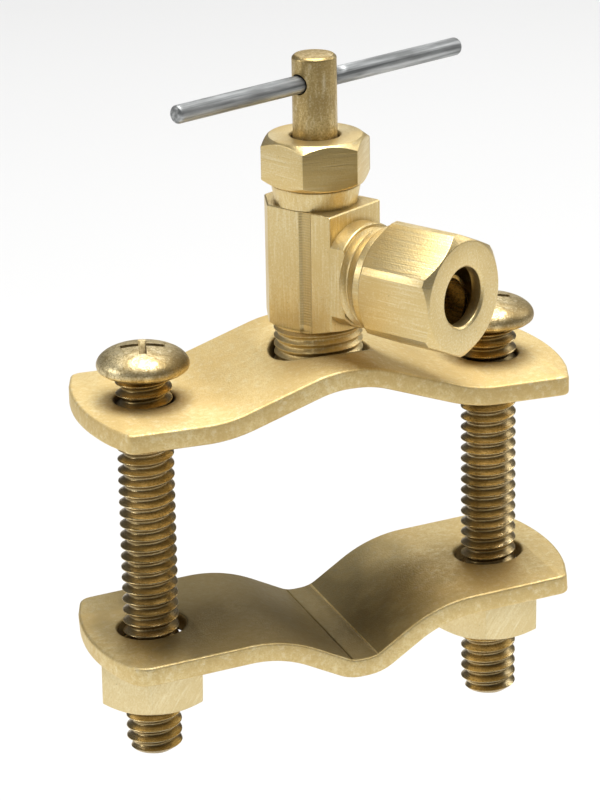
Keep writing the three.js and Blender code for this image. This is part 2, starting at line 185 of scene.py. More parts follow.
class Skin:
    """A surface laid ring by ring round Z. A ring's radius and height are numbers, or functions
    of the outline's own radius in each column."""

    def __init__(self, section=None):
        self.section = section or circle()
        self.mesh = bmesh.new()
        self.first = None
        self.last = None

    def _vertex(self, angle, radius, height):
        return self.mesh.verts.new((radius * math.cos(angle), radius * math.sin(angle), height))

    def _join(self, lower, upper):
        count = len(self.section)
        for i in range(count):
            j = (i + 1) % count
            corners = []
            for vertex in (lower[i], lower[j], upper[j], upper[i]):
                if vertex not in corners:
                    corners.append(vertex)
            if len(corners) > 2:
                self.mesh.faces.new(corners)

    def _add(self, row):
        if self.last:
            self._join(self.last, row)
        else:
            self.first = row
        self.last = row

    def ring(self, radius, height):
        row = []
        for angle, own in self.section:
            r = radius(own) if callable(radius) else radius
            z = height(own) if callable(height) else height
            row.append(self._vertex(angle, r, z))
        self._add(row)
        return self

    def pole(self, height):
        self._add([self.mesh.verts.new((0, 0, height))] * len(self.section))
        return self

    def rings(self, points):
        for radius, height in eased(points):
            if radius == 0:
                self.pole(height)
            else:
                self.ring(radius, height)
        return self

    def thread(self, crest, root, pitch, low, high, limit=None):
        """A helical thread from low to high. limit(z) holds the radius down near an end."""
        per_turn = len(THREAD_PROFILE)
        total = per_turn * (math.ceil((high - low) / pitch) + 2)
        count = len(self.section)
        depth = crest - root
        rows = []
        for k in range(total):
            turn, step = divmod(k, per_turn)
            pitch_share, depth_share = THREAD_PROFILE[step]
            row = []
            for i, (angle, _) in enumerate(self.section):
                z = low + pitch * (turn - 1 + pitch_share + i / count)
                r = root + depth * depth_share
                held = min(max(z, low), high)
                if held != z:
                    r = root + depth * thread_share((held - low) / pitch - i / count)
                if limit:
                    r = min(r, limit(held))
                row.append(self._vertex(angle, r, held))
            rows.append(row)
        self._add(rows[0])
        for k in range(total - 1):
            for i in range(count - 1):
                self._quad(rows[k][i], rows[k][i + 1], rows[k + 1][i + 1], rows[k + 1][i])
            if k + per_turn < total - 1:
                ahead = k + per_turn
                self._quad(rows[k][-1], rows[ahead][0], rows[ahead + 1][0], rows[k + 1][-1])
        self.last = rows[-1]
        return self

    def _quad(self, *corners):
        spots = {tuple(round(c, 5) for c in v.co) for v in corners}
        if len(spots) > 2:
            self.mesh.faces.new(corners)

    def closed(self):
        """Joins the last ring to the first, for a piece with a bore."""
        self._join(self.last, self.first)
        return self.done()

    def done(self):
        bmesh.ops.remove_doubles(self.mesh, verts=self.mesh.verts, dist=WELD)
        bmesh.ops.recalc_face_normals(self.mesh, faces=self.mesh.faces)
        return self.mesh


# ---- Solids made from other solids ----


def as_object(mesh, name="work"):
    data = bpy.data.meshes.new(name)
    mesh.to_mesh(data)
    mesh.free()
    made = bpy.data.objects.new(name, data)
    bpy.context.scene.collection.objects.link(made)
    return made


def evaluated(source):
    """The mesh of an object after its modifiers, and the object removed."""
    result = bmesh.new()
    result.from_object(source, bpy.context.evaluated_depsgraph_get())
    bpy.data.objects.remove(source)
    return result


def combined(mesh, tool, operation):
    base, other = as_object(mesh), as_object(tool)
    modifier = base.modifiers.new("combine", "BOOLEAN")
    modifier.operation = operation
    modifier.solver = "EXACT"
    modifier.object = other
    result = evaluated(base)
    bpy.data.objects.remove(other)
    return result


def bevelled(mesh, width, segments=2, angle=40 * DEG):
    base = as_object(mesh)
    modifier = base.modifiers.new("bevel", "BEVEL")
    modifier.width = width
    modifier.segments = segments
    modifier.limit_method = "ANGLE"
    modifier.angle_limit = angle
    modifier.use_clamp_overlap = False
    return evaluated(base)


def moved(mesh, matrix):
    bmesh.ops.transform(mesh, matrix=matrix, verts=mesh.verts)
    return mesh


def lay_outlet():
    """The turn that lays a piece's own Z along the outlet."""
    return Matrix.Rotation(OUTLET_TURN, 4, "Z") @ Matrix.Rotation(90 * DEG, 4, "Y")


# ---- Pieces ----

MATERIALS = {}


def place(name, mesh, matrix, body, slot, material, smooth=SHARP_ANGLE):
    """Makes a shown piece from a mesh in millimetres and rides it on a body."""
    mesh.normal_update()
    moved(mesh, matrix.to_3x3().to_4x4() @ Matrix.Scale(MM, 4))
    made = as_object(mesh, name)
    made.data.shade_smooth()
    made.data.set_sharp_from_angle(angle=smooth)
    made.data.materials.append(MATERIALS[material])
    made.location = matrix.translation
    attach(made, body)
    return made


def at(x, y, z):
    return Matrix.Translation(Vector((x, y, z)) * MM)


# ---- Plates ----

PLATE_THICKNESS = 2.2
PLATE_WIDTH = 22.2
PLATE_END_RADIUS = 27.6
PLATE_EDGE = 0.32
UPPER_BEND = {"middle": 0.1, "rise": 4.1, "slope": 19 * DEG, "crown": 2.3,
              "crown_radius": 12, "foot_radius": 16}
LOWER_BEND = {"middle": 0.7, "rise": -4.5, "slope": -30 * DEG, "crown": 1.6,
              "crown_radius": 4.5, "foot_radius": 14}
SLICE = 0.55
# Corner radii: front left, front right, back right, back left
UPPER_CORNERS = (0.8, 1.0, 1.0, 1.4)
LOWER_CORNERS = (2.6, 1.2, 1.2, 1.6)
# Hole radii
TAPPED_HOLE = 3.26
CLEARANCE_HOLE = 3.83
VALVE_HOLE = 5.2
# Height of the top of the jaw's ends, at x = 0 and before its tilt
JAW_TOP = -27.2
# The valley's two creases, left and right of its middle
CREASE = {"left": 1.9, "right": 1.75, "width": 0.22, "depth": 0.13}


def bend_point(bend, x):
    """Height and lean of a bent plate's middle line at x."""
    side = math.copysign(1, bend["slope"])
    angle = abs(bend["slope"])
    out = abs(x - bend["middle"])
    foot = bend["crown"] + abs(bend["rise"]) / math.tan(angle)
    crown_start = bend["crown"] - bend["crown_radius"] * math.tan(angle / 2)
    crown_end = crown_start + bend["crown_radius"] * math.sin(angle)
    foot_end = foot + bend["foot_radius"] * math.tan(angle / 2)
    foot_start = foot_end - bend["foot_radius"] * math.sin(angle)
    if out <= crown_start:
        drop, lean = 0, 0
    elif out <= crown_end:
        lean = math.asin((out - crown_start) / bend["crown_radius"])
        drop = bend["crown_radius"] * (1 - math.cos(lean))
    elif out < foot_start:
        lean = angle
        drop = (out - bend["crown"]) * math.tan(angle)
    elif out < foot_end:
        lean = math.asin((foot_end - out) / bend["foot_radius"])
        drop = abs(bend["rise"]) - bend["foot_radius"] * (1 - math.cos(lean))
    else:
        drop, lean = abs(bend["rise"]), 0
    height = bend["rise"] - side * drop
    return height, -side * lean * math.copysign(1, x - bend["middle"])


def plate_outline(corners):
    """Two straight sides and two end arcs. corners are radii, from the front left round.
    The arc's points nearest a corner are left out, to make room for its rounding."""
    half = PLATE_WIDTH / 2
    end = math.asin(half / PLATE_END_RADIUS)
    x = PLATE_END_RADIUS * math.cos(end)
    arc_steps = 24
    arc = [end * (2 * k / arc_steps - 1) for k in range(1, arc_steps)]
    skip = 3
    right = [(PLATE_END_RADIUS * math.cos(a), PLATE_END_RADIUS * math.sin(a))
             for a in arc[skip:-skip]]
    left = [(-px, -py) for px, py in right]
    return eased([(-x, -half, corners[0]), (x, -half, corners[1]), *right,
                  (x, half, corners[2]), (-x, half, corners[3]), *left], closed=True)


def slab(outline, thickness):
    mesh = bmesh.new()
    face = mesh.faces.new([mesh.verts.new((x, y, -thickness / 2)) for x, y in outline])
    grown = bmesh.ops.extrude_face_region(mesh, geom=[face])
    top = [v for v in grown["geom"] if isinstance(v, bmesh.types.BMVert)]
    bmesh.ops.translate(mesh, vec=(0, 0, thickness), verts=top)
    bmesh.ops.recalc_face_normals(mesh, faces=mesh.faces)
    return mesh


def bent_plate(bend, holes, corners, creases=()):
    """A stamped plate: cut flat, its edges eased, then bent. holes are (x, radius)."""
    mesh = slab(plate_outline(corners), PLATE_THICKNESS)
    for x, radius in holes:
        tool = Skin().rings([(0, -PLATE_THICKNESS), (radius, -PLATE_THICKNESS),
                             (radius, PLATE_THICKNESS), (0, PLATE_THICKNESS)]).done()
        mesh = combined(mesh, moved(tool, Matrix.Translation((x, 0, 0))), "DIFFERENCE")
    mesh = bevelled(mesh, PLATE_EDGE, segments=3)
    slices = int(PLATE_END_RADIUS / SLICE)
    cuts = [k * SLICE for k in range(-slices, slices + 1)]
    cuts += [c + s * CREASE["width"] for c in creases for s in (-1, 0, 1)]
    for x in cuts:
        geometry = [*mesh.verts, *mesh.edges, *mesh.faces]
        bmesh.ops.bisect_plane(mesh, geom=geometry, plane_co=(x, 0, 0), plane_no=(1, 0, 0))
    for vertex in mesh.verts:
        x, y, h = vertex.co
        on_top = h > PLATE_THICKNESS / 2 - 0.01
        if on_top and any(abs(x - c) < CREASE["width"] / 2 for c in creases):
            h -= CREASE["depth"]
        height, lean = bend_point(bend, x)
        vertex.co = (x - h * math.sin(lean), y, height + h * math.cos(lean))
    return mesh


def upper_plate():
    high = box_mm("upper_plate")[1]
    screw_x = middle_mm("clamp_screw_right").x
    holes = [(-screw_x, TAPPED_HOLE), (screw_x, TAPPED_HOLE), (0, VALVE_HOLE)]
    mesh = bent_plate(UPPER_BEND, holes, UPPER_CORNERS)
    matrix = at(0, 0, high.z - PLATE_THICKNESS / 2 - UPPER_BEND["rise"])
    made = place("saddle_plate", mesh, matrix, "saddle", "plate_brass", "upper plate")
    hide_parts("upper_plate")


def lower_plate():
    screw_x = middle_mm("clamp_screw_right").x
    holes = [(-screw_x, CLEARANCE_HOLE), (screw_x, CLEARANCE_HOLE)]
    creases = [LOWER_BEND["middle"] - CREASE["left"], LOWER_BEND["middle"] + CREASE["right"]]
    mesh = bent_plate(LOWER_BEND, holes, LOWER_CORNERS, creases)
    mesh = moved(mesh, Matrix.Translation((0, 0, -PLATE_THICKNESS / 2)))
    matrix = at(0, 0, JAW_TOP) @ Matrix.Rotation(-JAW_TILT, 4, "Y")
    made = place("jaw_plate", mesh, matrix, "jaw", "plate_brass", "lower plate")
    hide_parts("lower_plate")


# ---- Clamp screws and nuts ----

LEAD_SLOPE = 0.9  # how fast a thread's depth grows from its end
SCREW = {"radius": 3.12, "root": 2.36, "length": 44.4, "tip": 0.55, "turn": -16 * DEG}
HEAD = {"radius": 5.1, "rim": 0.75, "dome": 2.2, "fullness": 0.92}
RECESS = {"reach": 2.7, "width": 0.95, "depth": 1.9, "floor_reach": 0.9, "floor_width": 0.7}
CLAMP_NUT = {"flats": 11.1, "bore": 3.3, "face": 5.35, "slope": 0.56}


def recess_tool(top):
    """The driver's tapered cross, as one solid."""
    mesh = bmesh.new()
    rows = []
    levels = ((top - RECESS["depth"], RECESS["floor_reach"], RECESS["floor_width"]),
              (top + 1, RECESS["reach"] + 0.9, RECESS["width"]))
    for z, reach, width in levels:
        half = width / 2
        row = []
        for k in range(4):
            turned = Matrix.Rotation(k * 90 * DEG, 2)
            for point in ((reach, -half), (reach, half), (half, half)):
                row.append(mesh.verts.new((*(turned @ Vector(point)), z)))
        rows.append(row)
        mesh.faces.new(row)
    lower, upper = rows
    for i in range(len(lower)):
        j = (i + 1) % len(lower)
        mesh.faces.new((lower[i], lower[j], upper[j], upper[i]))
    bmesh.ops.recalc_face_normals(mesh, faces=mesh.faces)
    return mesh


def clamp_screw(side, slot):
    low, high = box_mm(f"clamp_screw_{side}")
    tip = SCREW["radius"] - SCREW["tip"]
    end = -SCREW["length"]

    def limit(z):
        return tip + (z - end) * LEAD_SLOPE

    top = HEAD["rim"] + HEAD["dome"]
    head = [(HEAD["radius"] - 0.55, 0, 0.12), (HEAD["radius"] - 0.08, 0.35, 0.3)]
    steps = 16
    for step in range(steps):
        angle = 90 * DEG * step / steps
        head.append((HEAD["radius"] * math.cos(angle) ** HEAD["fullness"],
                     HEAD["rim"] + HEAD["dome"] * math.sin(angle)))
    skin = Skin().pole(end)
    skin.thread(SCREW["radius"], SCREW["root"], SCREW_PITCH, end, 0, limit)
    skin.rings([(SCREW["root"], 0), *head, (0, top)])
    mesh = combined(skin.done(), recess_tool(top), "DIFFERENCE")
    # Painted light: the head takes a paler brass than the thread, a lit copy of one material
    for face in mesh.faces:
        face.material_index = int(face.calc_center_median().z > 0)
    seat = low.z + SCREW["length"]
    matrix = at((low.x + high.x) / 2, 0, seat) @ Matrix.Rotation(SCREW["turn"], 4, "Z")
    made = place(f"machine_screw_{side}", mesh, matrix, "saddle", slot, "screw",
                 smooth=40 * DEG)
    made.data.materials.append(MATERIALS["lit screw head"])
    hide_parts(f"clamp_screw_{side}")


def clamp_nut(side, turn):
    low, high = box_mm(f"clamp_nut_{side}")
    height = high.z - low.z
    bore, face, slope = CLAMP_NUT["bore"], CLAMP_NUT["face"], CLAMP_NUT["slope"]
    skin = Skin(columns(hexagon(CLAMP_NUT["flats"], turn, corner=0.18)))
    skin.ring(bore, 0).ring(face, 0)
    skin.ring(lambda own: own, lambda own: max(0.0, own - face) * slope)
    skin.ring(lambda own: own, lambda own: height - max(0.0, own - face) * slope)
    skin.ring(face, height).ring(bore, height)
    matrix = at((low.x + high.x) / 2, 0, low.z)
    mesh = bevelled(skin.closed(), width=0.07, angle=20 * DEG)
    made = place(f"hex_nut_{side}", mesh, matrix, f"{side}_nut", "bar_brass", "clamp nut")
    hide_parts(f"clamp_nut_{side}")


# ---- Valve body ----

BODY = {"bottom": 5.25, "top": 18.15, "front": 5.4, "side": 4.36, "shoulder": -3.3,
        "back": -6.2, "back_half": 1.4}
GROOVE = {"start": 1.0, "end": 2.75, "depth": 0.3, "flank": 0.3}
NECK = {"root": 4.5, "radius": 4.9, "top": 20.35}
LOWER_THREAD = {"radius": 4.9, "root": 4.5, "top": 4.45}
BRANCH = {"shank": 5.8, "crest": 5.5, "root": 4.9, "flats": 7.3, "end": 14.6,
          "shank_start": 3.2, "spigot_start": 4}
GLAND_THREAD = {"radius": 4.6, "root": 4.1, "top": 24}
# The passage down the body, as (radius, height) from the gland's mouth to the inlet
PASSAGE = [(3.5, 24), (3.5, 21.3), (2.5, 21.3), (2.5, 7.45), (1.3, 6.35), (1.3, 0.05)]
OUTLET_PASSAGE = 2
TUBE_RADIUS = 3.25
TUBE_STOP = 10.2
SEAT_CONE = 2.05
CUTTER_REACH = 20  # past everything that it cuts


def body_outline():
    side, groove = BODY["side"], GROOVE
    half = [
        (BODY["front"], side, 0.12),
        (groove["end"], side, 0.08),
        (groove["end"] - groove["flank"], side - groove["depth"], 0.1),
        (groove["start"] + groove["flank"], side - groove["depth"], 0.1),
        (groove["start"], side, 0.08),
        (BODY["shoulder"], side, 0.15),
        (BODY["back"], BODY["back_half"], 0.15),
    ]
    mirrored = [(x, -y, r) for x, y, r in reversed(half)]
    return eased([*half, *mirrored], closed=True)


def body_skin():
    """The bar turned down to its lower thread and neck, and bored through."""
    cone = 4.55
    base = 5.05
    slope = 0.42
    edge = 0.14
    start = NECK["top"] + 0.02
    skin = Skin(columns(body_outline()))
    skin.thread(LOWER_THREAD["radius"], LOWER_THREAD["root"], LOWER_PITCH, 0.05,
                LOWER_THREAD["top"])
    skin.ring(LOWER_THREAD["root"], LOWER_THREAD["top"] + 0.02)
    skin.ring(base, cone)
    skin.ring(lambda own: own, lambda own: cone + max(0.0, own - base) * slope)
    skin.ring(lambda own: own, BODY["top"] - edge)
    skin.ring(lambda own: own - edge, BODY["top"])
    skin.rings([(NECK["root"], BODY["top"], 0), (NECK["root"], BODY["top"] + 0.12),
                (NECK["radius"], NECK["top"] - 0.15, 0.1), (NECK["radius"] - 0.1, NECK["top"])])
    skin.thread(GLAND_THREAD["radius"], GLAND_THREAD["root"], OUTLET_PITCH, start,
                GLAND_THREAD["top"])
    skin.rings(PASSAGE)
    return skin.closed()


def branch_solid():
    """The outlet's shank and thread, with the shank cut down to the bar's flats."""
    low, flats = BRANCH["shank_start"], BRANCH["flats"]
    shank = Skin().rings([(0, low), (BRANCH["shank"], low), (BRANCH["shank"], flats, 0.25),
                          (BRANCH["root"], flats), (0, flats)]).done()
    side = BODY["side"] - 0.02
    reach = CUTTER_REACH
    block = slab([(-reach, -side), (reach, -side), (reach, side), (-reach, side)], 2 * reach)
    shank = combined(shank, block, "INTERSECT")

    def limit(z):
        return BRANCH["root"] + 0.1 + (BRANCH["end"] - z) * LEAD_SLOPE

    start = flats - 0.1
    core = BODY["side"] - 0.1
    spigot = Skin().pole(BRANCH["spigot_start"])
    spigot.ring(core, BRANCH["spigot_start"]).ring(core, start)
    spigot.thread(BRANCH["crest"], BRANCH["root"], OUTLET_PITCH, start, BRANCH["end"], limit)
    spigot.pole(BRANCH["end"])
    return combined(shank, spigot.done(), "UNION")


def outlet_bore():
    """The outlet's passage, its tube socket and the 45 degree cone that the ferrule seats in."""
    past = BRANCH["end"] + 1
    return Skin().rings([(0, 0), (OUTLET_PASSAGE, 0), (OUTLET_PASSAGE, TUBE_STOP),
                         (TUBE_RADIUS, TUBE_STOP), (TUBE_RADIUS, past - SEAT_CONE),
                         (TUBE_RADIUS + SEAT_CONE, past), (0, past)]).done()


def valve_body():
    lay = Matrix.Translation((0, 0, OUTLET_Z)) @ Matrix.Rotation(90 * DEG, 4, "Y")
    mesh = combined(body_skin(), moved(branch_solid(), lay), "UNION")
    mesh = combined(mesh, moved(outlet_bore(), lay), "DIFFERENCE")
    matrix = Matrix.Rotation(OUTLET_TURN, 4, "Z")
    made = place("bar_stock_body", mesh, matrix, "saddle", "bar_brass", "body")
    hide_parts("valve_body")


# ---- Gland ----

PACKING_NUT = {"flats": 10.7, "turn": -3.2 * DEG, "face": 5.12, "slope": 0.78, "bore": 4.75,
               "roof": 24.6, "stem_hole": 2.67, "edge": 0.18}


def packing_nut():
    top = box_mm("packing_nut")[1].z
    foot = NECK["top"] + 0.06
    face, slope = PACKING_NUT["face"], PACKING_NUT["slope"]
    bore, roof = PACKING_NUT["bore"], PACKING_NUT["roof"]
    hole, edge = PACKING_NUT["stem_hole"], PACKING_NUT["edge"]
    skin = Skin(columns(hexagon(PACKING_NUT["flats"], PACKING_NUT["turn"], corner=0.1)))
    skin.ring(bore, foot).ring(face, foot)
    skin.ring(lambda own: own, lambda own: foot + max(0.0, own - face) * slope * 0.8)
    skin.ring(lambda own: own, lambda own: top - max(0.0, own - face) * slope)
    skin.ring(face, top)
    skin.rings([(hole + edge, top), (hole, top - edge), (hole, roof), (bore, roof), (bore, foot)])
    mesh = bevelled(skin.closed(), width=0.06, angle=20 * DEG)
    made = place("gland_nut", mesh, Matrix.Identity(4), "gland_nut", "bar_brass", "packing nut")
    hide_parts("packing_nut")


def ring_piece(name, node, body, slot, material, inner, ease):
    """A plain ring with eased edges, of its CAD node's size."""
    low, high = box_mm(node)
    outer = (high.x - low.x) / 2
    skin = Skin().rings([(inner, low.z), (outer, low.z, ease), (outer, high.z, ease),
                         (inner, high.z)])
    made = place(name, skin.closed(), Matrix.Identity(4), body, slot, material)
    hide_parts(node)


# ---- Stem ----

STEM_RADIUS = 2.43
NEEDLE_SOCKET = 1.07
BAR = {"radius": 1.0, "hole": 1.15, "dome": 0.45, "flat": 0.55, "columns": 48, "rows": 120}
# Two punch dents beside the stem, as (distance from the stem's axis, angle round the bar)
STAKES = ((2.95, 150 * DEG), (3.55, 210 * DEG))
STAKE = {"depth": 0.16, "radius": 0.42}
NEEDLE = {"radius": 0.95, "point": 2.47, "cone": 6.2, "collar_radius": 1.6, "collar": 6.85,
          "collar_top": 8.4}


def lay_bar():
    """The T-bar's own Z laid along its direction."""
    return Matrix.Rotation(BAR_TURN, 4, "Z") @ Matrix.Rotation(90 * DEG, 4, "Y")


def valve_stem():
    low, high = box_mm("valve_stem")
    bar_z = middle_mm("handle_bar").z
    socket_top = box_mm("needle")[1].z + 0.15
    skin = Skin().rings([(0, socket_top), (NEEDLE_SOCKET, socket_top), (NEEDLE_SOCKET, low.z),
                         (STEM_RADIUS, low.z), (STEM_RADIUS, high.z - 0.3, 0.3),
                         (STEM_RADIUS - 0.32, high.z - 0.02, 0.25), (0, high.z)])
    past = 4  # clear of the stem on both sides
    hole = Skin().rings([(0, -past), (BAR["hole"], -past), (BAR["hole"], past), (0, past)])
    hole = moved(hole.done(), Matrix.Translation((0, 0, bar_z)) @ lay_bar())
    mesh = combined(skin.done(), hole, "DIFFERENCE")
    made = place("turned_stem", mesh, Matrix.Identity(4), "stem", "bar_brass", "stem")
    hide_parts("valve_stem")


def handle_bar():
    low, high = box_mm("handle_bar")
    middle = (low + high) / 2
    half = ((high.x - low.x) / 2 - BAR["radius"] * math.sin(BAR_TURN)) / math.cos(BAR_TURN)
    offset = Vector((middle.x, middle.y)).length
    skin = Skin(circle(BAR["columns"]))
    skin.pole(-half)
    ends = 6
    rounding = []
    for k in range(1, ends + 1):
        angle = 90 * DEG * k / ends
        reach = BAR["radius"] * (BAR["flat"] + (1 - BAR["flat"]) * math.sin(angle))
        rounding.append((reach, BAR["dome"] * (1 - math.cos(angle))))
    for reach, inset in rounding:
        skin.ring(reach, -half + inset)
    for k in range(1, BAR["rows"]):
        z = -half + BAR["dome"] + (2 * half - 2 * BAR["dome"]) * k / BAR["rows"]
        skin.ring(BAR["radius"], z)
    for reach, inset in reversed(rounding):
        skin.ring(reach, half - inset)
    skin.pole(half)
    mesh = skin.done()
    stake_bar(mesh, offset)
    matrix = at(middle.x, middle.y, middle.z) @ lay_bar()
    made = place("steel_t_bar", mesh, matrix, "stem", "zinc_steel", "steel")
    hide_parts("handle_bar")


def stake_bar(mesh, offset):
    """Dents the bar where it is staked. offset is the bar's middle from the stem's axis."""
    for along, angle in STAKES:
        spot = Vector((math.cos(angle), math.sin(angle), along - offset))
        for vertex in mesh.verts:
            away = (vertex.co - spot).length
            vertex.co.xy *= 1 - STAKE["depth"] * math.exp(-((away / STAKE["radius"]) ** 2))


def needle():
    low, high = box_mm("needle")
    radius, collar = NEEDLE["radius"], NEEDLE["collar_radius"]
    skin = Skin().rings([(0, low.z), (radius, low.z + NEEDLE["point"], 0.3),
                         (radius, NEEDLE["cone"]), (collar, NEEDLE["collar"]),
                         (collar, NEEDLE["collar_top"]), (radius, NEEDLE["collar_top"]),
                         (radius, high.z), (0, high.z)])
    made = place("needle_point", skin.done(), Matrix.Identity(4), "needle_rod", "hard_steel",
                 "hard steel")
    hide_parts("needle")


# ---- Outlet ----

NUT = {"flats": 12.4, "turn": 5.1 * DEG, "start": 10.5, "end": 20.1, "collar": 6.0,
       "collar_start": 9.6, "face": 6.06, "slope": 0.77, "thread": 5.65, "thread_end": 18.2,
       "cut": 0.9}
SLEEVE = {"half": 1.4, "inner": 3.1, "end": 3.5, "outer": 4.0, "taper": 0.9}


def compression_nut():
    start, end, slope = NUT["start"], NUT["end"], NUT["slope"]
    skin = Skin(columns(hexagon(NUT["flats"], NUT["turn"], corner=0.1, cut=NUT["cut"])))
    skin.rings([(NUT["thread"], NUT["collar_start"]), (NUT["collar"], NUT["collar_start"], 0.12),
                (NUT["collar"], start - 0.05), (NUT["collar"], start)])
    skin.ring(lambda own: own, lambda own: start + max(0.0, own - NUT["collar"]) * slope)
    skin.ring(lambda own: own, lambda own: end - max(0.0, own - NUT["face"]) * slope)
    inner = NUT["thread_end"]
    skin.rings([(NUT["face"], end), (TUBE_RADIUS + 0.28, end), (TUBE_RADIUS, end - 0.25),
                (TUBE_RADIUS, inner + 0.4), (5.2, inner), (NUT["thread"], inner),
                (NUT["thread"], NUT["collar_start"])])
    mesh = bevelled(skin.closed(), width=0.06, angle=18 * DEG)
    matrix = at(0, 0, OUTLET_Z) @ lay_outlet()
    made = place("tube_nut", mesh, matrix, "outlet_nut", "bar_brass", "tube nut")
    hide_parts("compression_nut")


def ferrule():
    middle = middle_mm("ferrule")
    half, taper = SLEEVE["half"], SLEEVE["taper"]
    inner, end, outer = SLEEVE["inner"], SLEEVE["end"], SLEEVE["outer"]
    skin = Skin().rings([(inner, -half), (end, -half, 0.1), (outer, -half + taper, 0.3),
                         (outer, half - taper, 0.3), (end, half, 0.1), (inner, half)])
    matrix = at(middle.x, middle.y, middle.z) @ lay_outlet()
    made = place("compression_sleeve", skin.closed(), matrix, "outlet_ferrule", "bar_brass",
                 "screw")
    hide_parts("ferrule")


# ---- Materials ----


class Nodes:
    """A short way to write a material's nodes."""

    def __init__(self, name, lay=None):
        """lay is the turn from the piece's own axis frame to the row frame."""
        self.material = bpy.data.materials.new(name)
        self.material.use_nodes = True
        self.tree = self.material.node_tree
        self.shader = self.tree.nodes["Principled BSDF"]
        self.coordinates = self.add("ShaderNodeTexCoord")
        self.place = self.coordinates.outputs["Object"]
        if lay:
            turned = self.add("ShaderNodeMapping")
            turned.inputs["Rotation"].default_value = lay.inverted().to_euler()
            self.link(self.place, turned.inputs["Vector"])
            self.place = turned.outputs["Vector"]

    def add(self, kind, **settings):
        node = self.tree.nodes.new(kind)
        for key, value in settings.items():
            setattr(node, key, value)
        return node

    def link(self, source, target):
        self.tree.links.new(source, target)

    def noise(self, scale, detail=2.0, roughness=0.5):
        """Noise over the piece. scale is repeats per metre along X, Y and Z."""
        mapping = self.add("ShaderNodeMapping")
        mapping.inputs["Scale"].default_value = scale
        self.link(self.place, mapping.inputs["Vector"])
        node = self.add("ShaderNodeTexNoise")
        node.inputs["Scale"].default_value = 1
        node.inputs["Detail"].default_value = detail
        node.inputs["Roughness"].default_value = roughness
        self.link(mapping.outputs["Vector"], node.inputs["Vector"])
        return node.outputs["Fac"]

    def gray(self, source, low, high, start=0.0, end=1.0):
        """source from start..end carried to low..high."""
        node = self.add("ShaderNodeMapRange")
        node.inputs["From Min"].default_value = start
        node.inputs["From Max"].default_value = end
        node.inputs["To Min"].default_value = low
        node.inputs["To Max"].default_value = high
        self.link(source, node.inputs["Value"])
        return node.outputs["Result"]

    def mix(self, factor, a, b):
        node = self.add("ShaderNodeMix", data_type="RGBA")
        self._feed(factor, node.inputs[0])
        self._feed(a, node.inputs[6])
        self._feed(b, node.inputs[7])
        return node.outputs[2]

    def math(self, operation, a, b=0.0):
        node = self.add("ShaderNodeMath", operation=operation)
        self._feed(a, node.inputs[0])
        self._feed(b, node.inputs[1])
        return node.outputs[0]

    def _feed(self, value, socket):
        if isinstance(value, bpy.types.NodeSocket):
            self.link(value, socket)
        elif isinstance(value, tuple) and len(value) == 3:
            socket.default_value = (*value, 1)
        else:
            socket.default_value = value

    def crevice(self, distance):
        """1 in the open, 0 in a crevice. distance in millimetres."""
        node = self.add("ShaderNodeAmbientOcclusion", samples=6)
        node.inputs["Distance"].default_value = distance * MM
        return self.gray(node.outputs["AO"], 0, 1, 0.35, 0.95)

    def bump(self, height, depth, after=None):
        """depth in millimetres."""
        node = self.add("ShaderNodeBump")
        node.inputs["Strength"].default_value = 1
        node.inputs["Distance"].default_value = depth * MM
        self.link(height, node.inputs["Height"])
        if after:
            self.link(after, node.inputs["Normal"])
        return node.outputs["Normal"]

    def finish(self, color, roughness, normal=None, metallic=1.0):
        self.shader.inputs["Metallic"].default_value = metallic
        self._feed(color, self.shader.inputs["Base Color"])
        self._feed(roughness, self.shader.inputs["Roughness"])
        if normal:
            self.link(normal, self.shader.inputs["Normal"])
        return self.material


# Colours
BRASS = (0.81, 0.655, 0.345)
BRASS_WARM = (0.76, 0.58, 0.26)
BRASS_PALE = (0.88, 0.74, 0.43)
BRASS_SATIN = (0.86, 0.70, 0.36)
BRASS_CREAM = (0.97, 0.87, 0.60)
BRASS_DARK = (0.16, 0.115, 0.05)
BRONZE = (0.80, 0.61, 0.31)
BRONZE_DEEP = (0.36, 0.26, 0.11)
STEM_BROWN = (0.42, 0.30, 0.12)
# Painted shade on the jaw's top
JAW_SHADE_BROWN = (0.235, 0.18, 0.08)
# Painted dark reflection on the packing nut's front flat
REFLECTION_BROWN = (0.40, 0.29, 0.11)
# Painted shade on the body's groove floors
GROOVE_SHADE_BROWN = (0.42, 0.31, 0.13)


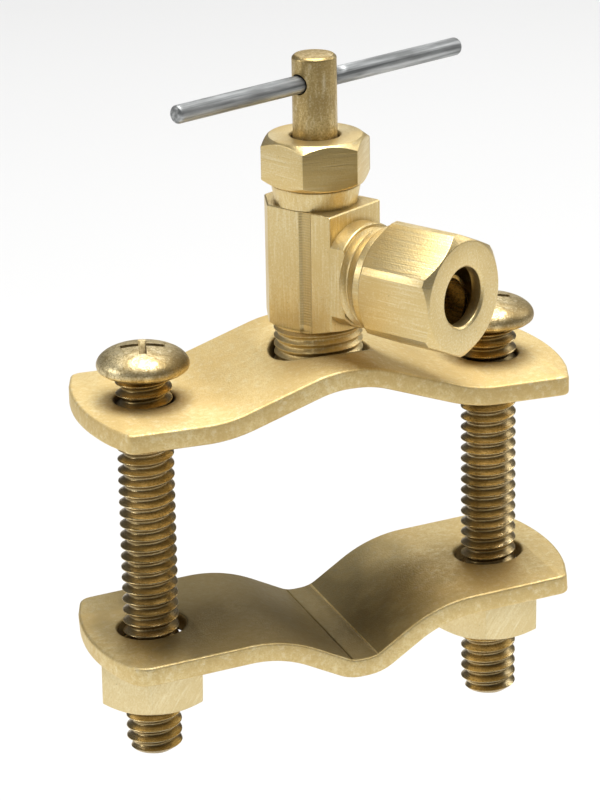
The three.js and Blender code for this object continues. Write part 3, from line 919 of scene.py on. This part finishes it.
def brass(name, light, deep, roughness, grain, grain_depth, speckle_depth, crevice=0.8,
          shade_and_dirt=0.5, lay=None, chatter_and_shade=False, jaw_shade=False, dark_reflection_flat=False):
    """Machined brass: cloudy tone, fine speckle, brushed grain, and painted shade with some grime
    in crevices and close under other parts.

    grain is the brush marks' repeats per metre, and depths and crevice are in millimetres."""
    n = Nodes(name, lay)
    cloud = n.noise((160, 160, 160), 3)
    tone = n.mix(n.gray(cloud, 0, 1, 0.38, 0.66), light, deep)
    speckle = n.noise((5200, 5200, 5200), 2)
    tone = n.mix(n.gray(speckle, 0.0, 0.8, 0.5, 0.66), tone, deep)
    tone = n.mix(n.gray(speckle, 0.25, 0.0, 0.34, 0.46), tone, BRASS_CREAM)
    lines = n.noise(grain, 3)
    tone = n.mix(n.gray(lines, 0.0, 0.75, 0.48, 0.68), tone, deep)
    tone = n.mix(n.gray(lines, 0.45, 0.0, 0.26, 0.44), tone, BRASS_CREAM)
    # Painted shade on the jaw's top, below the upper plate
    if jaw_shade:
        tone = painted_jaw_shade(n, tone)
    # Painted dark reflection on one flat
    if dark_reflection_flat:
        tone = painted_dark_reflection(n, tone)
    pits = n.gray(n.noise((3600, 3600, 3600), 2, 0.7), 0, 0.55, 0.7, 0.78)
    tone = n.mix(pits, tone, BRASS_DARK)
    open_share = n.crevice(crevice)
    # Painted shade with some grime: crevices, and surfaces close under other parts, darken toward
    # dark brass.
    tone = n.mix(open_share, n.mix(shade_and_dirt, tone, BRASS_DARK), tone)
    rough = n.gray(cloud, roughness - 0.04, roughness + 0.05)
    rough = n.math("ADD", n.gray(lines, -0.08, 0.1), rough)
    rough = n.math("ADD", rough, n.gray(open_share, 0.2, 0.0))
    normal = n.bump(lines, grain_depth)
    normal = n.bump(speckle, speckle_depth, normal)
    # Cutter ridges, and painted shade on the groove floors
    if chatter_and_shade:
        tone, normal = chatter_and_groove_shade(n, tone, normal)
    MATERIALS[name] = n.finish(tone, rough, normal)


CHATTER_WAVE = 21000.0  # radians per metre


def chatter_and_groove_shade(n, tone, normal):
    """Ridges from the cutter across the floor of the body's two grooves, with painted shade: the
    floors are darkened brown, most in the ridges' troughs.
    """
    split = n.add("ShaderNodeSeparateXYZ")
    n.link(n.place, split.inputs[0])
    along, aside, up = split.outputs
    middle = (GROOVE["start"] + GROOVE["end"]) / 2 * MM
    half = (GROOVE["end"] - GROOVE["start"]) / 2 * MM
    off = n.math("ABSOLUTE", n.math("SUBTRACT", along, middle))
    inside = n.math("LESS_THAN", off, half)
    deep = n.math("LESS_THAN", n.math("ABSOLUTE", aside), (BODY["side"] - 0.04) * MM)
    floor = n.math("MULTIPLY", inside, deep)
    floor = n.math("MULTIPLY", floor, n.math("LESS_THAN", up, BODY["top"] * MM))
    floor = n.math("MULTIPLY", floor, n.math("GREATER_THAN", up, BODY["bottom"] * MM))
    ridge = n.math("SINE", n.math("MULTIPLY", up, CHATTER_WAVE))
    ridge = n.math("MULTIPLY", ridge, floor)
    shade = n.gray(ridge, 0.3, 0.5, 1.0, -1.0)
    tone = n.mix(n.math("MULTIPLY", floor, shade), tone, GROOVE_SHADE_BROWN)
    return tone, n.bump(ridge, 0.012, normal)


def painted_jaw_shade(n, tone):
    """Painted shade from the upper plate: the jaw's top is darkened brown from near its left end
    to past its middle.
    """
    normal = n.add("ShaderNodeSeparateXYZ")
    n.link(n.coordinates.outputs["Normal"], normal.inputs[0])
    spot = n.add("ShaderNodeSeparateXYZ")
    n.link(n.place, spot.inputs[0])
    along = n.math("ADD", spot.outputs[0], n.gray(n.noise((240, 240, 240), 3), -0.004, 0.004))
    upward = n.gray(normal.outputs[2], 0, 1, 0.72, 0.82)
    left = n.gray(along, 0, 1, -0.027, -0.018)
    right = n.gray(along, 1, 0, 0.004, 0.014)
    share = n.math("MULTIPLY", upward, n.math("MULTIPLY", left, right))
    return n.mix(n.math("MULTIPLY", share, 0.86), tone, JAW_SHADE_BROWN)


def painted_dark_reflection(n, tone):
    """Painted dark reflection: the packing nut's front flat is browner than the others."""
    normal = n.add("ShaderNodeSeparateXYZ")
    n.link(n.coordinates.outputs["Normal"], normal.inputs[0])
    front = n.gray(normal.outputs[1], 1, 0, -0.98, -0.9)
    return n.mix(n.math("MULTIPLY", front, 0.75), tone, REFLECTION_BROWN)


def steel():
    n = Nodes("steel", lay_bar())
    lines = n.noise((2600, 2600, 60), 3)
    cloud = n.noise((900, 900, 160), 3)
    tone = n.mix(n.gray(lines, 0, 1, 0.36, 0.64), (0.24, 0.25, 0.25), (0.55, 0.56, 0.56))
    tone = n.mix(n.gray(cloud, 0, 0.7, 0.42, 0.62), tone, (0.17, 0.175, 0.17))
    # Painted shade: the bar goes near black in crevices, as where it enters the stem's hole.
    tone = n.mix(n.crevice(0.7), (0.03, 0.03, 0.03), tone)
    rough = n.gray(lines, 0.4, 0.58)
    MATERIALS["steel"] = n.finish(tone, rough, n.bump(lines, 0.012))


def plain_materials():
    n = Nodes("hard steel")
    lines = n.noise((300, 300, 5000), 1)
    tone = n.mix(n.gray(lines, 0, 1), (0.22, 0.22, 0.23), (0.36, 0.36, 0.37))
    MATERIALS["hard steel"] = n.finish(tone, n.gray(lines, 0.22, 0.35), n.bump(lines, 0.004))
    n = Nodes("rubber")
    grain = n.noise((3000, 3000, 3000), 3)
    tone = n.mix(n.gray(grain, 0, 1), (0.012, 0.012, 0.012), (0.03, 0.03, 0.03))
    MATERIALS["rubber"] = n.finish(tone, n.gray(grain, 0.6, 0.85), n.bump(grain, 0.02), 0)
    n = Nodes("packing")
    weave = n.noise((1500, 1500, 4200), 2)
    tone = n.mix(n.gray(weave, 0, 1), (0.05, 0.047, 0.043), (0.13, 0.12, 0.11))
    MATERIALS["packing"] = n.finish(tone, n.gray(weave, 0.6, 0.8), n.bump(weave, 0.03), 0)


def make_materials():
    # Repeats per metre of brush marks that run across Z, along Z, or every way
    across_z = (260, 260, 5200)
    along_z = (4600, 4600, 200)
    even = (1500, 1500, 1500)
    brass("upper plate", BRASS_SATIN, BRASS_WARM, roughness=0.62, grain=even, grain_depth=0.02,
          speckle_depth=0.04, crevice=1.7, shade_and_dirt=0.9)
    # The lower plate's top gets painted shade from the upper plate
    brass("lower plate", BRASS_SATIN, BRASS_WARM, roughness=0.54, grain=even, grain_depth=0.02,
          speckle_depth=0.04, crevice=1.7, shade_and_dirt=0.8, jaw_shade=True)
    brass("screw", BRONZE, BRONZE_DEEP, roughness=0.25, grain=across_z, grain_depth=0.008,
          speckle_depth=0.014, crevice=0.9, shade_and_dirt=0.92)
    # Painted light: the screw's head is a paler, lit copy of its thread's brass
    brass("lit screw head", BRASS_PALE, BRONZE_DEEP, roughness=0.44, grain=(1300, 1300, 500),
          grain_depth=0.06, speckle_depth=0.03, crevice=1.2, shade_and_dirt=0.8)
    brass("clamp nut", BRASS_PALE, BRASS, roughness=0.45, grain=along_z, grain_depth=0.02,
          speckle_depth=0.03, lay=Matrix.Rotation(35 * DEG, 4, "Y"))
    # The body's groove floors get cutter ridges and painted shade
    brass("body", BRASS, BRASS_WARM, roughness=0.4, grain=along_z, grain_depth=0.03,
          speckle_depth=0.02, crevice=0.6, shade_and_dirt=0.35, lay=Matrix.Rotation(OUTLET_TURN, 4, "Z"),
          chatter_and_shade=True)
    # The packing nut's front flat gets a painted dark reflection
    brass("packing nut", BRASS, BRASS_WARM, roughness=0.42, grain=across_z, grain_depth=0.03,
          speckle_depth=0.02, dark_reflection_flat=True)
    brass("tube nut", BRASS, BRASS_WARM, roughness=0.38, grain=along_z, grain_depth=0.025,
          speckle_depth=0.02, lay=lay_outlet())
    brass("stem", BRASS_WARM, STEM_BROWN, roughness=0.4, grain=(1700, 1700, 500),
          grain_depth=0.04, speckle_depth=0.02)
    steel()
    plain_materials()


# ---- Stage ----

CAMERA = {"azimuth": -19.57 * DEG, "elevation": 19.5 * DEG, "roll": -0.98 * DEG,
          "distance": 0.4, "target": Vector((-0.00226, 0, -0.00455)), "lens": 162.96}


def make_camera():
    a, e, r = CAMERA["azimuth"], CAMERA["elevation"], CAMERA["roll"]
    back = Vector((math.sin(a) * math.cos(e), -math.cos(a) * math.cos(e), math.sin(e)))
    level = Vector((math.cos(a), math.sin(a), 0))
    rise = back.cross(level)
    right = math.cos(r) * level + math.sin(r) * rise
    up = math.cos(r) * rise - math.sin(r) * level
    data = bpy.data.cameras.new("camera")
    data.sensor_fit = "VERTICAL"
    data.sensor_height = 36
    data.lens = CAMERA["lens"]
    camera = bpy.data.objects.new("camera", data)
    bpy.context.scene.collection.objects.link(camera)
    matrix = Matrix((right, up, back)).transposed().to_4x4()
    matrix.translation = CAMERA["target"] + back * CAMERA["distance"]
    camera.matrix_world = matrix
    bpy.context.scene.camera = camera


def softbox(name, place, size, power):
    """A rectangular light that faces the frame's origin."""
    data = bpy.data.lights.new(name, "AREA")
    data.shape = "RECTANGLE"
    data.size, data.size_y = size
    data.energy = power
    light = bpy.data.objects.new(name, data)
    bpy.context.scene.collection.objects.link(light)
    light.location = place
    light.rotation_euler = (-Vector(place)).to_track_quat("-Z", "Y").to_euler()


FLOOR_DROP = 0.04
FLOOR_GLOW = 0.21


def make_floor():
    """A plain pale floor, below the object."""
    mesh = bmesh.new()
    bmesh.ops.create_grid(mesh, x_segments=8, y_segments=8, size=3)
    floor = as_object(mesh, "floor")
    floor.location.z = CAD_BOX[0].z - FLOOR_DROP
    n = Nodes("floor")
    tone = n.mix(n.gray(n.noise((3, 3, 3), 2), 0, 1), (0.56, 0.56, 0.557), (0.59, 0.59, 0.587))
    n.shader.inputs["Emission Color"].default_value = (1, 1, 1, 1)
    n.shader.inputs["Emission Strength"].default_value = FLOOR_GLOW
    floor.data.materials.append(n.finish(tone, 0.8, None, 0))


def make_lights():
    world = bpy.data.worlds.new("studio")
    world.use_nodes = True
    world.node_tree.nodes["Background"].inputs["Color"].default_value = (1, 1, 1, 1)
    world.node_tree.nodes["Background"].inputs["Strength"].default_value = 0.12
    bpy.context.scene.world = world
    softbox("overhead", (0.08, 0.03, 1.0), (0.8, 0.55), 15)
    softbox("left", (-0.7, 0.1, 0.3), (0.24, 0.22), 1.2)
    softbox("right", (0.7, 0.08, 0.42), (0.4, 0.4), 1.3)
    softbox("back", (0.3, 0.72, 0.42), (0.35, 0.2), 0.42)
    bpy.context.scene.view_settings.view_transform = "Standard"


# ---- Assembly ----

make_materials()
upper_plate()
lower_plate()
for side in ("left", "right"):
    clamp_screw(side, "screw_brass")
clamp_nut("left", 11.3 * DEG)
clamp_nut("right", 6.2 * DEG)
valve_body()
packing_nut()
ring_piece("gland_packing", "stem_packing", "saddle", "packing", "packing", inner=2.5, ease=0.2)
ring_piece("gland_follower", "packing_follower", "gland_ring", "bar_brass", "packing nut",
           inner=2.5, ease=0.1)
valve_stem()
handle_bar()
needle()
compression_nut()
ferrule()

# The gasket keeps its CAD shape
frame["nodes"]["saddle_gasket"].data.materials.clear()
frame["nodes"]["saddle_gasket"].data.materials.append(MATERIALS["rubber"])

make_floor()
make_lights()
make_camera()
